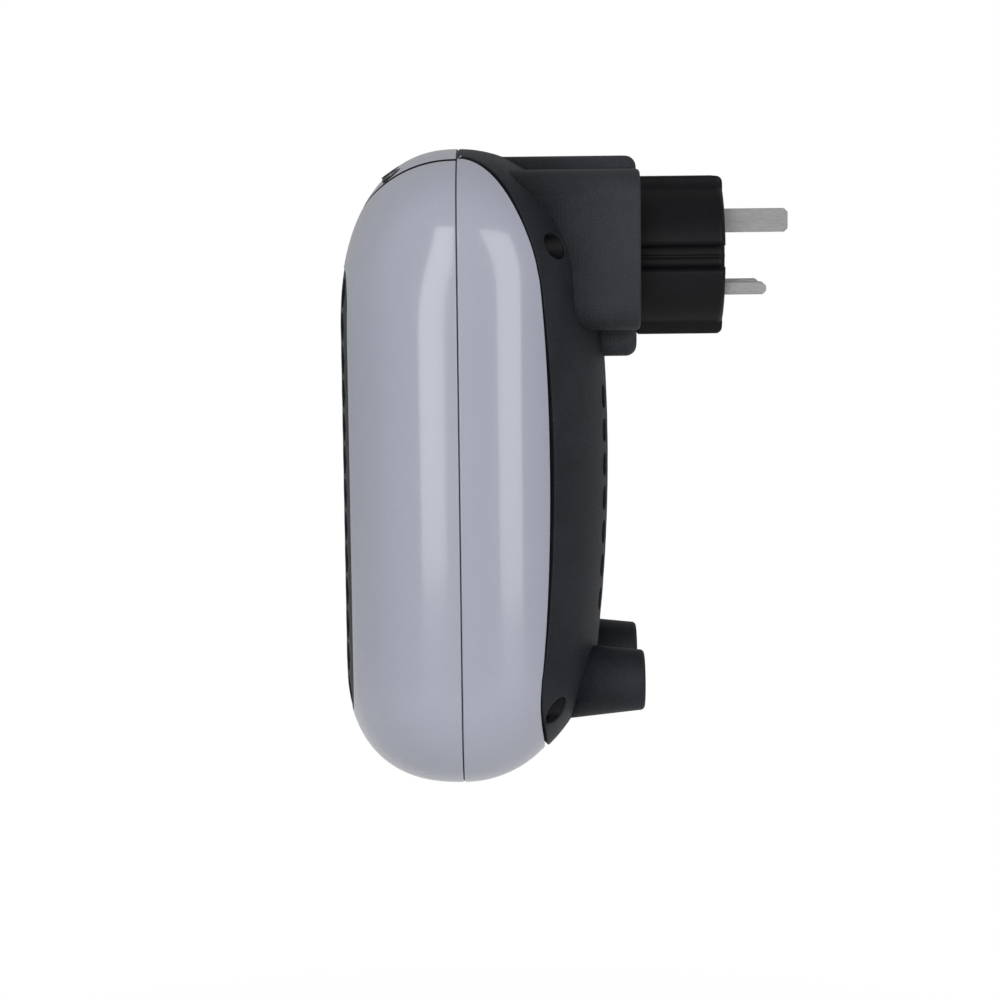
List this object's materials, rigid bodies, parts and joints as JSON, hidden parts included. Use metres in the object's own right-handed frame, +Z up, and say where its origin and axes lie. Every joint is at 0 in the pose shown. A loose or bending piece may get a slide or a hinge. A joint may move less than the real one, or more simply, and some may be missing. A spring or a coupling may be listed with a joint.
{
  "type": "plug-in fan heater",
  "caption": "Pill-shaped fan heater that hangs on its own swivelling wall plug, with a honeycomb outlet grille, a control strip, a vented rear cover and stand-off feet.",
  "frame": {"origin": "centre of the plug's face, where it meets the wall socket", "axes": "+Y into the wall along the pins, +Z up, the outlet grille faces -Y"},
  "size_m": [0.132, 0.1508, 0.213],
  "materials": {
    "cheek_plastic": "glossy moulded grey",
    "cover_plastic": "fine spark-eroded grain",
    "grille_plastic": "satin moulded black",
    "plug_plastic": "smooth moulded black",
    "button_plastic": "satin moulded black",
    "window_plastic": "smoked gloss",
    "pin_metal": "satin nickel plate",
    "screw_steel": "zinc plated",
    "plate_steel": "zinc plated",
    "duct_plastic": "heat-resistant moulded",
    "heater_ceramic": "bare sintered",
    "heater_frame_plastic": "glass-filled moulded",
    "fin_aluminium": "mill finish",
    "board_laminate": "solder mask",
    "component_plastic": "moulded",
    "lead_rubber": "extruded"
  },
  "bodies": {
    "plug": {"plug_body": "plug_plastic", "earth_pin": "pin_metal", "live_pin": "pin_metal", "neutral_pin": "pin_metal", "plug_retainer": "plate_steel", "retainer_screws": "screw_steel"},
    "housing": {"front_housing": "cheek_plastic", "rear_housing": "cheek_plastic", "control_panel": "cheek_plastic", "rear_cover": "cover_plastic", "front_grille": "grille_plastic", "display_window": "window_plastic", "cover_screws": "screw_steel", "duct_screws": "screw_steel", "bracket_screws": "screw_steel", "motor_screws": "screw_steel", "board_screws": "screw_steel", "panel_screws": "screw_steel", "fan_motor": "plate_steel", "air_duct": "duct_plastic", "motor_bracket": "duct_plastic", "ptc_bars": "heater_ceramic", "heater_frame": "heater_frame_plastic", "heater_fins": "fin_aluminium", "main_board": "board_laminate", "display_board": "board_laminate", "relay": "component_plastic", "film_capacitor": "component_plastic", "electrolytic_capacitor": "component_plastic", "terminal_block": "component_plastic", "led_display": "component_plastic", "tact_switches": "component_plastic", "thermal_cutout": "component_plastic", "thermal_fuse": "component_plastic", "mains_leads": "lead_rubber", "heater_leads": "lead_rubber", "motor_leads": "lead_rubber", "signal_cable": "lead_rubber"},
    "fan": {"fan_impeller": "duct_plastic", "motor_shaft": "screw_steel"},
    "power_key": {"power_button": "button_plastic"},
    "timer_key": {"timer_button": "button_plastic"},
    "cooler_key": {"cooler_button": "button_plastic"},
    "warmer_key": {"warmer_button": "button_plastic"}
  },
  "joints": [
    {"name": "plug_swivel", "type": "hinge", "parent": "plug", "child": "housing", "pos_m": [0, 0, 0], "axis": [0, 1, 0], "range_deg": [-90, 90], "deforming": ["mains_leads"]},
    {"name": "fan_spin", "type": "hinge", "parent": "housing", "child": "fan", "pos_m": [0, -0.088, -0.0705], "axis": [0, 1, 0], "continuous": true},
    {"name": "power_press", "type": "slide", "parent": "housing", "child": "power_key", "axis": [0, 0.5592, -0.829], "range_m": [0, 0.0006], "stiffness_N_per_m": 800},
    {"name": "timer_press", "type": "slide", "parent": "housing", "child": "timer_key", "axis": [0, 0.5592, -0.829], "range_m": [0, 0.0006], "stiffness_N_per_m": 800},
    {"name": "cooler_press", "type": "slide", "parent": "housing", "child": "cooler_key", "axis": [0, 0.5592, -0.829], "range_m": [0, 0.0006], "stiffness_N_per_m": 800},
    {"name": "warmer_press", "type": "slide", "parent": "housing", "child": "warmer_key", "axis": [0, 0.5592, -0.829], "range_m": [0, 0.0006], "stiffness_N_per_m": 800}
  ]
}
